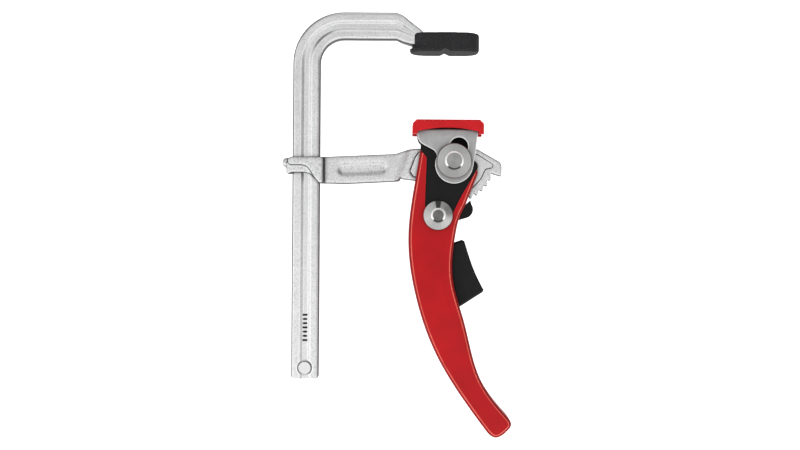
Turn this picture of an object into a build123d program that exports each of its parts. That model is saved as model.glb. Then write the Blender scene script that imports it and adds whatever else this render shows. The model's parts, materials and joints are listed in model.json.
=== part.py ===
from build123d import *
from math import cos, radians, sin
import os

# A ratchet lever clamp. A bent rail carries the fixed jaw, and an arm slides on the rail. A hand
# lever turns on the arm, and its cam lifts a pressure saddle towards the fixed jaw. A pawl in the
# lever catches the teeth on the arm, and a trigger in the grip frees it.
#
# Millimetres. +Z is up, along the rail towards the fixed jaw, +X runs from the rail to the jaw, and
# -Y is the front. The origin is the middle of the fixed jaw face, on the clamping axis.
# "half" in a name means a distance from the middle plane Y = 0, measured both ways.

# ---------------------------------------------------------------- driving dimensions

# Rail: one forged bar, upright, bent over the throat and flattened to a tongue
throat_depth = 60.0
rail_below_jaw = 155.0
rail_width = 13.0
rail_thickness = 6.5
rail_edge_round = 1.5
rail_end_round = 1.6
groove_width = 5.0
groove_floor = 2.2
groove_depth = 0.9
bar_height = 12.6
bend_radius = 17.8
bar_end_x = -24.0
tongue_half_length = 13.0
tongue_half_width = 6.0
tongue_bottom_z = 2.8
tongue_thickness = 4.9
tongue_corner_round = 2.0
boss_length = 12.0
boss_width = 8.0
boss_height = 2.2
stop_pin_radius = 3.0
stop_pin_above_end = 5.4
stop_pin_proud = 0.3
stop_pin_seat_gap = 0.7
stop_pin_shank_radius = 2.0

# Fixed jaw cap: a push-on plastic shoe
cap_left = 16.7
cap_right = 15.1
cap_half_width = 10.0
cap_height = 9.0
cap_corner_round = 8.0
cap_edge_round = 1.4
cap_lip = 1.0
cap_lip_height = 1.7
cap_clearance = 0.12
vee_x = -1.0
vee_width = 4.8
vee_depth = 1.3

# Lever pivot, the centre of everything on the arm
pivot_x = 3.4
pivot_z = -51.3

# Sliding arm
rail_clearance = 0.2
collar_half = 7.5
collar_lip_half = 6.2
collar_web_half = 5.4
collar_end_wall = 4.4
collar_lip_wall = 2.4
collar_ramp = 1.5
web_corner_round = 1.8
bar_half = 5.0
head_half = 3.5
neck_ramp = 2.4
pocket_length = 23.6
pocket_height = 6.1
pocket_depth = 0.9
pocket_tilt = 2.7
pocket_wall_slope = 50.0
pocket_place = (-43.2, -3.8)
tooth_tip_radius = 19.9
tooth_root_radius = 17.8
tooth_pitch = 9.5
tooth_undercut = 1.2
first_tooth_angle = 62.7
tooth_count = 7
insert_depth = 1.2
insert_gap = 0.15

# Rivets and washers
lever_shank_radius = 4.0
lever_tail_radius = 2.0
lever_head_overhang = 0.4
lever_head_slope = 0.8
lever_head_height = 1.4
pawl_shank_radius = 2.5
pawl_head_overhang = 0.9
pawl_head_slope = 0.8
pawl_head_height = 1.3
running_clearance = 0.05
pivot_washer_radius = 8.1
pivot_washer_thickness = 1.4
pivot_washer_edge = 0.3
washer_ring_margin = 1.3
washer_ring_inset = 0.5
washer_ring_depth = 0.35
pawl_washer_radius = 6.8
pawl_washer_thickness = 1.55
pawl_washer_hub_radius = 4.0
pawl_washer_flat_margin = 0.4
pawl_washer_cone_drop = 0.7

# Lever plates, one each side of the arm's head
side_clearance = 0.3
plate_thickness = 2.2
tang_thickness = 1.4
tang_drop = 1.5
cam_height = 12.9
cam_rise = 9.4
cam_start_angle = 9.5
cam_end_angle = -40.0
cam_flank_length = 17.6
pawl_pivot_dx = -7.3
pawl_pivot_dz = -25.7
spacer_radius = 2.0
spacer_bore_radius = 1.1

# Pressure saddle: a steel channel over the lever, slotted on the lever pivot
saddle_side_clearance = 0.8
saddle_sheet = 2.0
saddle_web_height = 13.5
saddle_lobe_radius = 8.9
saddle_bend_round = 1.5
slot_clearance = 0.4
slot_tilt = 18.4
slot_above = 6.96
slot_below = 1.9
saddle_left = 17.2
saddle_right = 11.4

# Saddle cap: a plastic shoe clipped over the saddle
saddle_cap_thickness = 3.7
saddle_cap_wall = 2.0
saddle_cap_end_wall = 2.3
saddle_cap_hook_drop = 3.0
saddle_cap_arch_drop = 1.9
saddle_cap_chamfer = 1.9
saddle_cap_edge_round = 0.6
saddle_cap_fit = 0.1

# Grip shells: two plastic halves around the plates
grip_over_plates = 0.6
grip_half_at_palm = 8.5
grip_half_at_tail = 7.2
grip_wall = 2.2
grip_edge_round = 1.6
grip_window_gap = 0.1
washer_seat_gap = 0.4
trigger_side_clearance = 0.4
arm_gap_radius = 20.7
screw_shank_radius = 1.5
screw_head_radius = 2.8
screw_boss_radius = 3.4
screw_head_depth = 1.8
driver_slot_length = 3.2
driver_slot_width = 0.7
driver_slot_depth = 1.0

# Pawl, trigger and spring
pawl_side_clearance = 0.4
pawl_tip_radius = 20.2
pawl_relief_radius = 21.7
pawl_hub_radius = 5.0
pawl_nose_radius = 4.2
pawl_nose_dx = 12.4
pawl_nose_dz = 2.9
pawl_tip_angle = 23.5
tail_half = 1.4
trigger_plate_gap = 0.2
trigger_edge = 0.9
trigger_pin_radius = 1.0
spring_wire = 0.7
spring_radius = 3.6
spring_turns = 3
spring_pitch = 0.78
spring_well_near = 0.2
spring_well_gap = 0.2

# ---------------------------------------------------------------- sizes worked out from those

rail_x = -throat_depth - rail_width / 2
rail_slot_half_width = rail_width / 2 + rail_clearance
rail_slot_half = rail_thickness / 2 + rail_clearance
plate_inner = head_half + side_clearance
plate_outer = plate_inner + plate_thickness
tang_outer = plate_inner + tang_thickness
saddle_inner_half = plate_outer + saddle_side_clearance
saddle_outer_half = saddle_inner_half + saddle_sheet
pivot_washer_inner = saddle_outer_half + 2 * running_clearance
pivot_washer_outer = pivot_washer_inner + pivot_washer_thickness
lever_head_inner = pivot_washer_outer + 2 * running_clearance
lever_head_radius = lever_shank_radius + lever_head_overhang
lever_shoulder = (plate_outer + saddle_inner_half) / 2
grip_half_at_head = plate_outer + grip_over_plates
pawl_washer_inner = grip_half_at_head + running_clearance
pawl_washer_outer = pawl_washer_inner + pawl_washer_thickness
pawl_head_radius = pawl_shank_radius + pawl_head_overhang
pawl_half = plate_inner - pawl_side_clearance
trigger_half = plate_inner - trigger_plate_gap
trigger_slot_half = trigger_half + trigger_side_clearance
saddle_web_top = saddle_web_height + saddle_sheet
pawl_x = pivot_x + pawl_pivot_dx
pawl_z = pivot_z + pawl_pivot_dz
running_bore = lever_shank_radius + running_clearance
tail_bore = lever_tail_radius + running_clearance
grip_cavity_half = tang_outer + grip_window_gap
beyond = 200.0  # longer than the clamp, for cuts that run out of a piece

# Work planes: local x is +X, local y is +Z, and a positive extrusion goes to the front, -Y.
pivot_plane = Plane(origin=(pivot_x, 0, pivot_z), x_dir=(1, 0, 0), z_dir=(0, -1, 0))
pawl_plane = Plane(origin=(pawl_x, 0, pawl_z), x_dir=(1, 0, 0), z_dir=(0, -1, 0))
collar_plane = Plane(origin=(rail_x, 0, pivot_z), x_dir=(1, 0, 0), z_dir=(0, -1, 0))


def around_pivot(radius, angle):
    """A point at an angle from straight down about the lever pivot, towards +X."""
    return (radius * sin(radians(angle)), -radius * cos(radians(angle)))


def front_layer(plane, near, far):
    """The work plane at the near distance in front of the middle, and the depth to the far one."""
    return plane.offset(near), far - near


def save(part, label):
    part.label = label
    export_step(part, f"parts/{label}.step")


def save_pair(front, name):
    """Writes a piece from the front side, and its mirror image for the rear side."""
    save(front, f"front_{name}")
    with BuildPart() as rear:
        mirror(front, about=Plane.XZ)
    save(rear.part, f"rear_{name}")


os.makedirs("parts", exist_ok=True)

# ---------------------------------------------------------------- rail


def rail_section(width, thickness, trough):
    """A rounded bar section with a trough down both broad faces, to a share of its full size."""
    RectangleRounded(width, thickness, rail_edge_round)
    for side in (1, -1):
        face = side * thickness / 2
        floor = face - side * groove_depth * trough
        rim = groove_width / 2 * trough
        foot = groove_floor / 2 * trough
        Polygon(
            (-rim, face), (-foot, floor), (foot, floor), (rim, face), align=None,
            mode=Mode.SUBTRACT,
        )


def bar_plane(x, bottom, top):
    return Plane(origin=(x, 0, (bottom + top) / 2), x_dir=(0, 0, 1), z_dir=(1, 0, 0))


tongue_top_z = tongue_bottom_z + tongue_thickness
tongue_start_x = -9.5
stop_pin_z = stop_pin_above_end - rail_below_jaw
stop_pin_seat = rail_thickness / 2 - groove_depth
bar_bottom_z = bar_height - rail_width / 2
bar_top_z = bar_height + rail_width / 2
# The flattening, as (x, bottom, top, thickness, share of the trough) of the section, from the bar
# to the tongue
flattening = [
    (bar_end_x, bar_bottom_z, bar_top_z, rail_thickness, 1.0),
    (-21.0, bar_bottom_z - 1.4, bar_top_z - 1.3, rail_thickness + 0.5, 0.9),
    (-17.0, tongue_bottom_z + 0.8, bar_top_z - 4.7, 8.4, 0.6),
    (-tongue_half_length, tongue_bottom_z, tongue_top_z + 3.6, 10.0, 0.3),
    (tongue_start_x, tongue_bottom_z, tongue_top_z, 2 * tongue_half_width, 0.1),
]

with BuildPart() as rail:
    with BuildLine(Plane.XZ):
        upright = Line((rail_x, -rail_below_jaw), (rail_x, bar_height - bend_radius))
        bend = RadiusArc(upright @ 1, (rail_x + bend_radius, bar_height), bend_radius)
        Line(bend @ 1, (bar_end_x, bar_height))
    with BuildSketch(Plane((rail_x, 0, -rail_below_jaw))):
        rail_section(rail_width, rail_thickness, 1.0)
    sweep()
    # The free end has round corners.
    with BuildSketch(Plane.XZ):
        with Locations((rail_x, -rail_below_jaw)):
            Rectangle(2 * rail_width, 2 * rail_end_round)
        with Locations((rail_x, rail_width - rail_below_jaw)):
            RectangleRounded(rail_width, 2 * rail_width, rail_end_round, mode=Mode.SUBTRACT)
    extrude(amount=rail_width, both=True, mode=Mode.SUBTRACT)
    # The bar is forged down and out to a flat tongue.
    for near, far in zip(flattening[:-1], flattening[1:]):
        for x, bottom, top, thickness, trough in (near, far):
            with BuildSketch(bar_plane(x, bottom, top)):
                rail_section(top - bottom, thickness, trough)
        loft(ruled=True)
    with BuildSketch(Plane.XY.offset(tongue_bottom_z)):
        with Locations((tongue_start_x, 0)):
            Rectangle(
                tongue_half_length - tongue_start_x, 2 * tongue_half_width,
                align=(Align.MIN, Align.CENTER),
            )
        fillet(vertices().group_by(Axis.X)[-1], tongue_corner_round)
    extrude(amount=tongue_thickness)
    with BuildSketch(Plane.XY.offset(tongue_bottom_z)):
        SlotOverall(boss_length, boss_width)
    extrude(amount=tongue_thickness + boss_height)
    with BuildSketch(Plane.XZ):
        with Locations((rail_x, stop_pin_z)):
            Circle(stop_pin_shank_radius)
    extrude(amount=rail_width, both=True, mode=Mode.SUBTRACT)
    # The stop pin's heads lie in round seats, as deep as the trough.
    for side in (1, -1):
        with BuildSketch(Plane.XZ.offset(side * stop_pin_seat)):
            with Locations((rail_x, stop_pin_z)):
                Circle(stop_pin_radius + stop_pin_seat_gap)
        extrude(amount=side * rail_width, mode=Mode.SUBTRACT)
save(rail.part, "rail")

# ---------------------------------------------------------------- rail stop pin

stop_pin_half = rail_thickness / 2 + stop_pin_proud

with BuildPart() as rail_stop_pin:
    with BuildSketch(Plane.XZ):
        with Locations((rail_x, stop_pin_z)):
            Circle(stop_pin_shank_radius)
    extrude(amount=stop_pin_half, both=True)
    for side in (1, -1):
        with BuildSketch(Plane.XZ.offset(side * stop_pin_seat)):
            with Locations((rail_x, stop_pin_z)):
                Circle(stop_pin_radius)
        extrude(amount=side * (stop_pin_half - stop_pin_seat))
    rims = rail_stop_pin.edges().filter_by(GeomType.CIRCLE)
    fillet(rims.group_by(Axis.Y)[0] + rims.group_by(Axis.Y)[-1], stop_pin_proud)
save(rail_stop_pin.part, "rail_stop_pin")

# ---------------------------------------------------------------- jaw cap

with BuildPart() as jaw_cap:
    with BuildSketch(Plane.XY):
        with Locations(((cap_right - cap_left) / 2, 0)):
            RectangleRounded(cap_left + cap_right, 2 * cap_half_width, cap_corner_round)
    extrude(amount=cap_height)
    with BuildSketch(Plane.XY):
        lip_length = cap_left + cap_lip
        with Locations((-lip_length / 2, 0)):
            RectangleRounded(lip_length, 2 * cap_half_width, cap_corner_round)
    extrude(amount=cap_lip_height)
    bottom_rim = jaw_cap.faces().sort_by(Axis.Z)[0].edges()
    top_rim = jaw_cap.faces().sort_by(Axis.Z)[-1].edges()
    fillet(bottom_rim + top_rim, cap_edge_round)
    # The pocket for the tongue, open at the rail's side and above the flattening
    pocket_width = 2 * (tongue_half_width + cap_clearance)
    with BuildSketch(Plane.XY.offset(tongue_bottom_z)):
        with Locations((tongue_half_length + cap_clearance, 0)):
            Rectangle(beyond, pocket_width, align=(Align.MAX, Align.CENTER))
        fillet(vertices().group_by(Axis.X)[-1], tongue_corner_round)
    extrude(amount=tongue_thickness + cap_clearance, mode=Mode.SUBTRACT)
    with BuildSketch(Plane.XY.offset(tongue_bottom_z)):
        with Locations((tongue_start_x + cap_clearance, 0)):
            Rectangle(beyond, pocket_width, align=(Align.MAX, Align.CENTER))
    extrude(amount=cap_height, mode=Mode.SUBTRACT)
    with BuildSketch(Plane.XY.offset(tongue_top_z)):
        SlotOverall(boss_length + 2 * cap_clearance, boss_width + 2 * cap_clearance)
    extrude(amount=cap_height, mode=Mode.SUBTRACT)
    with BuildSketch(Plane.XZ):
        Polygon(
            (vee_x - vee_width / 2, 0), (vee_x, vee_depth), (vee_x + vee_width / 2, 0), align=None,
        )
    extrude(amount=cap_half_width, both=True, mode=Mode.SUBTRACT)
save(jaw_cap.part, "jaw_cap")

# ---------------------------------------------------------------- sliding arm

cheek_left = -rail_slot_half_width - collar_lip_wall + 0.6
collar_top = 1.5
collar_bottom = -10.8
cheek_right = rail_slot_half_width + 1.2 + collar_ramp
web_left = -rail_slot_half_width - collar_end_wall
web_bottom = -3.3
web_top = collar_top - 0.6
lip_left = -rail_slot_half_width - collar_lip_wall
lip_top = -1.0
lip_bottom = -6.6

with BuildPart() as collar:
    with BuildSketch(collar_plane):
        with BuildLine():
            cheek_start = Line((cheek_right, collar_top), (cheek_left + 1.6, collar_top))
            left_end = ThreePointArc(
                cheek_start @ 1, (cheek_left, collar_top - 1.9), (cheek_left + 1.6, -2.4),
            )
            under = Line(left_end @ 1, (-2.4, -2.3))
            sweep_down = Spline(
                under @ 1, (3.4, -6.9), (rail_slot_half_width - 0.3, collar_bottom),
                tangents=((1, 0), (0.75, -0.66)),
            )
            Polyline(sweep_down @ 1, (cheek_right, collar_bottom - 0.2), cheek_start @ 0)
        make_face()
    extrude(amount=collar_half, both=True)
    ramp_end = collar.faces().sort_by(Axis.X)[-1]
    ramp_edges = ramp_end.edges().filter_by(Axis.Z)
    chamfer(ramp_edges, length=collar_half - bar_half, length2=collar_ramp, reference=ramp_end)
    with BuildSketch(collar_plane):
        Polygon((web_left, web_top), (web_left, web_bottom), (0, web_bottom), (0, web_top), align=None)
        fillet(vertices().group_by(Axis.X)[0], web_corner_round)
    extrude(amount=collar_web_half, both=True)
    with BuildSketch(collar_plane):
        Polygon(
            (lip_left, lip_top), (lip_left, lip_bottom), (-7.4, lip_bottom), (-7.0, -5.9),
            (0.3, -5.9), (2.2, -6.9), (4.4, -9.0), (rail_slot_half_width, collar_bottom),
            (rail_slot_half_width, lip_top), align=None,
        )
    extrude(amount=collar_lip_half, both=True)


def bar_shape():
    """Outline of the arm's thick bar, from the collar to the slanted neck, about the pivot."""
    bar_start = rail_x + rail_slot_half_width - pivot_x
    Polygon(
        (bar_start, collar_top), (-27.6, 3.2), (-20.4, 5.7), (-25.6, -9.7),
        (-51.3, -11.1), (bar_start, collar_bottom), align=None,
    )


def head_shape():
    """Outline of the thin head round the pivot, with the toothed sector and the hook."""
    outline = [
        (-24.5, -8.6), (-22.0, 5.2), (-18.2, 5.9), (11.2, 5.8), (22.0, -0.3), (22.8, -2.5),
        (22.6, -7.0), (17.4, -5.5),
    ]
    for tooth in range(tooth_count):
        angle = first_tooth_angle - tooth * tooth_pitch
        outline.append(around_pivot(tooth_tip_radius, angle))
        outline.append(around_pivot(tooth_root_radius, angle - tooth_undercut))
    outline += [(-3.2, -15.4), (-9.0, -10.9), (-17.0, -9.5)]
    Polygon(*outline, align=None)


def insert_shape(gap):
    """Outline of the plate let into the head round the pivot, shrunk by a gap all round."""
    Polygon(
        (-16.4, 4.1), (-18.2, 1.6), (-20.6, -4.9), (-18.9, -7.4), (-9.0, -8.2), (-3.4, -12.2),
        (3.0, -14.7), (9.6, -11.8), (12.9, -8.0), (15.0, -3.6), (18.3, -2.9), (18.5, -1.4),
        (10.9, 3.3), align=None,
    )
    if gap > 0:
        offset(amount=-gap, kind=Kind.INTERSECTION, mode=Mode.REPLACE)


with BuildPart() as sliding_arm:
    with BuildSketch(pivot_plane):
        bar_shape()
    extrude(amount=bar_half, both=True)
    neck_end = sliding_arm.faces().sort_by(Axis.X)[-1]
    neck_edges = neck_end.edges().group_by(SortBy.LENGTH)[-1]
    chamfer(neck_edges, length=bar_half - head_half, length2=neck_ramp, reference=neck_end)
    with BuildSketch(pivot_plane):
        head_shape()
    extrude(amount=head_half, both=True)
    add(collar.part)
    with BuildSketch(Plane.XY.offset(pivot_z)):
        with Locations((rail_x, 0)):
            Rectangle(2 * rail_slot_half_width, 2 * rail_slot_half)
    extrude(amount=beyond, both=True, mode=Mode.SUBTRACT)
    for side in (1, -1):
        with BuildSketch(pivot_plane.offset(side * bar_half)):
            with Locations(Location(pocket_place, pocket_tilt)):
                SlotOverall(pocket_length, pocket_height)
        extrude(amount=-side * pocket_depth, taper=pocket_wall_slope, mode=Mode.SUBTRACT)
        with BuildSketch(pivot_plane.offset(side * (head_half - insert_depth))):
            insert_shape(0)
        extrude(amount=side * insert_depth, mode=Mode.SUBTRACT)
    with BuildSketch(pivot_plane):
        Circle(lever_shank_radius)
    extrude(amount=bar_half, both=True, mode=Mode.SUBTRACT)
save(sliding_arm.part, "sliding_arm")

# ---------------------------------------------------------------- pivot inserts

with BuildPart() as pivot_insert:
    insert_floor, insert_reach = front_layer(pivot_plane, head_half - insert_depth, head_half)
    with BuildSketch(insert_floor):
        insert_shape(insert_gap)
        Circle(lever_shank_radius, mode=Mode.SUBTRACT)
    extrude(amount=insert_reach)
save_pair(pivot_insert.part, "pivot_insert")

# ---------------------------------------------------------------- rivets and washers


def rivet(plane, shank, head, head_slope, head_height, inner):
    """A rivet through the middle plane with a turned conical head outside each inner distance."""
    with BuildPart() as piece:
        with BuildSketch(plane):
            Circle(shank)
        extrude(amount=inner, both=True)
        for side in (1, -1):
            with BuildSketch(plane.offset(side * inner)):
                Circle(head)
            extrude(amount=side * head_height)
        rims = piece.edges().filter_by(GeomType.CIRCLE)
        chamfer(rims.group_by(Axis.Y)[0] + rims.group_by(Axis.Y)[-1], head_slope)
    return piece.part


even_rivet = rivet(
    pivot_plane, lever_shank_radius, lever_head_radius, lever_head_slope, lever_head_height,
    lever_head_inner,
)

with BuildPart() as lever_pivot_rivet:
    add(even_rivet)
    # The shank is thinner behind the rear lever plate.
    with BuildSketch(pivot_plane.offset(-lever_shoulder)):
        Circle(lever_shank_radius)
        Circle(lever_tail_radius, mode=Mode.SUBTRACT)
    extrude(amount=lever_shoulder - lever_head_inner, mode=Mode.SUBTRACT)
save(lever_pivot_rivet.part, "lever_pivot_rivet")

pawl_rivet = rivet(
    pawl_plane, pawl_shank_radius, pawl_head_radius, pawl_head_slope, pawl_head_height,
    pawl_washer_outer,
)
save(pawl_rivet, "pawl_rivet")


def pivot_washer(bore):
    """The large washer on the front of the saddle, with a shallow ring turned into its face."""
    with BuildPart() as piece:
        washer_plane, washer_reach = front_layer(pivot_plane, pivot_washer_inner, pivot_washer_outer)
        with BuildSketch(washer_plane):
            Circle(pivot_washer_radius)
        extrude(amount=washer_reach)
        chamfer(piece.faces().sort_by(Axis.Y)[0].edges(), pivot_washer_edge)
        with BuildSketch(pivot_plane.offset(pivot_washer_outer)):
            Circle(pivot_washer_radius - washer_ring_margin)
            Circle(lever_head_radius + washer_ring_inset, mode=Mode.SUBTRACT)
        extrude(amount=-washer_ring_depth, mode=Mode.SUBTRACT)
        with BuildSketch(pivot_plane):
            Circle(bore)
        extrude(amount=beyond, mode=Mode.SUBTRACT)
    return piece.part


save(pivot_washer(running_bore), "front_pivot_washer")
small_bore_washer = pivot_washer(tail_bore)

with BuildPart() as rear_pivot_washer:
    mirror(small_bore_washer, about=Plane.XZ)
save(rear_pivot_washer.part, "rear_pivot_washer")

with BuildPart() as pawl_washer:
    hub_plane, hub_reach = front_layer(pawl_plane, plate_outer, pawl_washer_outer)
    with BuildSketch(hub_plane):
        Circle(pawl_washer_hub_radius)
    extrude(amount=hub_reach)
    disc_plane, disc_reach = front_layer(pawl_plane, pawl_washer_inner, pawl_washer_outer)
    with BuildSketch(disc_plane):
        Circle(pawl_washer_radius)
    extrude(amount=disc_reach)
    # The face is a shallow cone that falls away from the rivet.
    cone_face = pawl_washer.faces().sort_by(Axis.Y)[0]
    cone_width = pawl_washer_radius - pawl_head_radius - pawl_washer_flat_margin
    chamfer(
        cone_face.edges(), length=cone_width, length2=pawl_washer_cone_drop, reference=cone_face,
    )
    with BuildSketch(pawl_plane):
        Circle(pawl_shank_radius)
    extrude(amount=pawl_washer_outer, mode=Mode.SUBTRACT)
save_pair(pawl_washer.part, "pawl_washer")

# ---------------------------------------------------------------- lever plates


def cam_point(angle):
    """A point of the cam, an involute whose height over the pivot grows evenly with its angle."""
    turn = radians(angle)
    height = cam_height + cam_rise * turn
    return (-height * sin(turn) - cam_rise * cos(turn), height * cos(turn) - cam_rise * sin(turn))


# The plate below its head, from the right edge round the tang to the left edge
tang_outline = [
    (3.7, -16.3), (-0.6, -25.0), (-5.0, -34.0), (-5.0, -56.0), (-15.1, -56.0), (-15.9, -44.0),
    (-15.2, -32.0), (-13.5, -21.0),
]


def plate_shape():
    """Outline of a lever plate about the pivot: the cam, the head and the tang in the grip."""
    cam_steps = 6
    cam_step = (cam_end_angle - cam_start_angle) / cam_steps
    with BuildLine() as outline:
        cam = Spline(*[cam_point(cam_start_angle + cam_step * i) for i in range(cam_steps + 1)])
        flank = PolarLine(cam @ 1, cam_flank_length, cam_end_angle)
        shoulder = TangentArc(flank @ 1, (10.5, -4.5), tangent=flank % 1)
        Polyline(
            shoulder @ 1, *tang_outline, (-12.8, 1.4), (-15.6, 5.1), (-15.6, 9.0), cam @ 0,
        )
    make_face(outline.edges())


tang_top = pawl_pivot_dz - pawl_washer_hub_radius - tang_drop
spacer_places = [(-12.9, -37.0), (-12.9, -52.0)]

with BuildPart() as lever_plate:
    plate_plane, plate_reach = front_layer(pivot_plane, plate_inner, plate_outer)
    with BuildSketch(plate_plane):
        plate_shape()
        Circle(running_bore, mode=Mode.SUBTRACT)
        with Locations((pawl_pivot_dx, pawl_pivot_dz)):
            Circle(pawl_shank_radius, mode=Mode.SUBTRACT)
        with Locations(spacer_places):
            Circle(spacer_bore_radius, mode=Mode.SUBTRACT)
    extrude(amount=plate_reach)
    # The tang is thinner, so that the grip shells close over it.
    with BuildSketch(pivot_plane.offset(tang_outer)):
        with Locations((0, tang_top)):
            Rectangle(beyond, beyond, align=(Align.CENTER, Align.MAX))
    extrude(amount=beyond, mode=Mode.SUBTRACT)
save_pair(lever_plate.part, "lever_plate")

with BuildPart() as plate_spacers:
    with BuildSketch(pivot_plane):
        with Locations(spacer_places):
            Circle(spacer_radius)
    extrude(amount=plate_inner, both=True)
    with BuildSketch(pivot_plane):
        with Locations(spacer_places):
            Circle(spacer_bore_radius)
    extrude(amount=tang_outer, both=True)
save(plate_spacers.part, "plate_spacers")

# ---------------------------------------------------------------- pressure saddle

slot_axis = (sin(radians(slot_tilt)), cos(radians(slot_tilt)))
slot_length = slot_above + slot_below
slot_middle = (slot_above - slot_below) / 2
slot_centre = (slot_axis[0] * slot_middle, slot_axis[1] * slot_middle)

with BuildPart() as pressure_saddle:
    with BuildSketch(pivot_plane):
        with BuildLine():
            left_side = Line((-saddle_left, saddle_web_top), (-saddle_left, saddle_web_top - 3.5))
            waist = Spline(
                left_side @ 1, (-14.3, 7.4), (-10.4, 5.4), (-8.0, 1.2), tangents=((0, -1), (0, -1)),
            )
            Polyline(
                waist @ 1, (-8.0, -3.0), (8.9, -3.0), (10.2, 4.7), (saddle_right, saddle_web_top),
                left_side @ 0,
            )
        make_face()
        with Locations((0, -1.8)):
            Circle(saddle_lobe_radius)
    extrude(amount=saddle_outer_half, both=True)
    top_bends = pressure_saddle.edges().filter_by(Axis.X).group_by(Axis.Z)[-1]
    fillet(top_bends, saddle_bend_round)
    with BuildSketch(pivot_plane):
        with Locations((0, saddle_web_height)):
            Rectangle(beyond, beyond, align=(Align.CENTER, Align.MAX))
    extrude(amount=saddle_inner_half, both=True, mode=Mode.SUBTRACT)
    # The rivet's shank runs in the front slot, and its thinner tail in the rear one.
    for side, shank in ((1, lever_shank_radius), (-1, lever_tail_radius)):
        with BuildSketch(pivot_plane):
            with Locations(Location(slot_centre, 90 - slot_tilt)):
                SlotCenterToCenter(slot_length, 2 * (shank + slot_clearance))
        extrude(amount=side * saddle_outer_half, mode=Mode.SUBTRACT)
save(pressure_saddle.part, "pressure_saddle")

# ---------------------------------------------------------------- saddle cap

cap_outer_half = saddle_outer_half + saddle_cap_wall
cap_top_z = saddle_web_top + saddle_cap_thickness
cap_inner_left = -saddle_left - saddle_cap_fit
cap_inner_right = saddle_right + saddle_cap_fit
hook_z = saddle_web_top - saddle_cap_hook_drop

with BuildPart() as saddle_cap:
    with BuildSketch(pivot_plane):
        with BuildLine():
            outer_left = cap_inner_left - saddle_cap_end_wall
            outer_right = cap_inner_right + saddle_cap_end_wall
            shoe = Polyline(
                (cap_inner_left, hook_z), (outer_left, hook_z), (outer_left, cap_top_z),
                (outer_right, cap_top_z), (outer_right, hook_z), (cap_inner_right, hook_z),
                (cap_inner_right, saddle_web_top - saddle_cap_arch_drop),
            )
            arch_middle = ((cap_inner_left + cap_inner_right) / 2, saddle_web_top)
            arch_left = (cap_inner_left, saddle_web_top - saddle_cap_arch_drop)
            ThreePointArc(shoe @ 1, arch_middle, arch_left)
            Line(arch_left, shoe @ 0)
        make_face()
    extrude(amount=cap_outer_half, both=True)
    top_ends = saddle_cap.edges().filter_by(Axis.Y).group_by(Axis.Z)[-1]
    chamfer(top_ends, saddle_cap_chamfer)
    top_rims = saddle_cap.faces().sort_by(Axis.Z)[-1].edges().filter_by(Axis.X)
    fillet(top_rims, saddle_cap_edge_round)
    # The inside is open for the saddle, and the end hooks grip its plates only.
    with BuildSketch(Plane.XY.offset(pivot_z + saddle_web_top)):
        inner_middle_x = pivot_x + (cap_inner_left + cap_inner_right) / 2
        with Locations((inner_middle_x, 0)):
            Rectangle(
                cap_inner_right - cap_inner_left, 2 * (saddle_outer_half + saddle_cap_fit / 2),
            )
            Rectangle(4 * saddle_left, 2 * saddle_inner_half)
    extrude(amount=-4 * saddle_cap_hook_drop, mode=Mode.SUBTRACT)
save(saddle_cap.part, "saddle_cap")

# ---------------------------------------------------------------- grip shells


back_outline = [
    (-15.9, 4.9), (-18.2, -9.7), (-21.2, -37.2), (-17.1, -65.7), (-6.4, -93.9), (15.8, -126.9),
]
tail_tip = [(21.0, -130.3), (26.6, -126.5)]
belly_outline = [
    (25.6, -119.9), (13.5, -103.5), (5.1, -75.1), (-0.2, -55.0), (1.3, -33.0), (5.5, -21.0),
]


def grip_shape(inset):
    """Outline of the grip about the pivot, from the head to the round tail, drawn in by an inset."""
    back_points = [(x + inset, z + inset / 2) for x, z in back_outline]
    belly_points = [(x - inset, z + inset / 2) for x, z in belly_outline]
    tip_points = [(x - inset / 2, z + inset) for x, z in tail_tip]
    with BuildLine() as outline:
        back = Spline(*back_points, tangents=((-0.13, -1.0), (0.60, -0.80)))
        tail = Spline(back @ 1, *tip_points, belly_points[0], tangents=(back % 1, (-0.68, 0.73)))
        belly = Spline(*belly_points, tangents=(tail % 1, (0.47, 0.88)))
        Polyline(belly @ 1, (11.3 - inset, -6.0), (11.2 - inset, -1.4), back @ 0)
    make_face(outline.edges())


def window_shape():
    """The opening in the grip's face that shows the lever plate and takes the pawl washer's hub."""
    with BuildLine() as outline:
        Polyline(
            (-15.9, 5.3), (-12.9, 1.5), (-13.6, -21.0), (-11.0, -27.5), (-7.3, -30.1), (-3.0, -28.4),
            (-0.5, -25.1), (3.8, -16.3), (10.7, -4.5), (20.0, 3.0), (20.0, 12.0), (-15.9, 12.0),
            close=True,
        )
    make_face(outline.edges())
    with Locations((pawl_pivot_dx, pawl_pivot_dz)):
        Circle(pawl_washer_hub_radius + grip_window_gap)


def side_profile():
    """The grip's thickness seen from the side, as a closed outline against Z."""
    with BuildLine() as outline:
        face = Spline(
            (-grip_half_at_head, 8.0), (-grip_half_at_head - 0.02, -26.0), (-grip_half_at_palm, -64.0),
            (-grip_half_at_palm, -96.0), (-grip_half_at_tail, -134.0),
            tangents=((0, -1), (0.08, -1)),
        )
        Polyline(face @ 1, (0, -134.0), (0, 8.0), face @ 0)
    make_face(outline.edges())


side_plane = Plane(origin=(0, 0, pivot_z), x_dir=(0, 1, 0), z_dir=(1, 0, 0))
boss_places = [(-3.8, -78.0), (7.8, -106.0)]

arm_gap_bottom = -15.0
trigger_slot_left = -4.0
trigger_slot_bottom = -72.0
screw_head_floor = grip_half_at_palm - 2 * screw_head_depth

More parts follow.
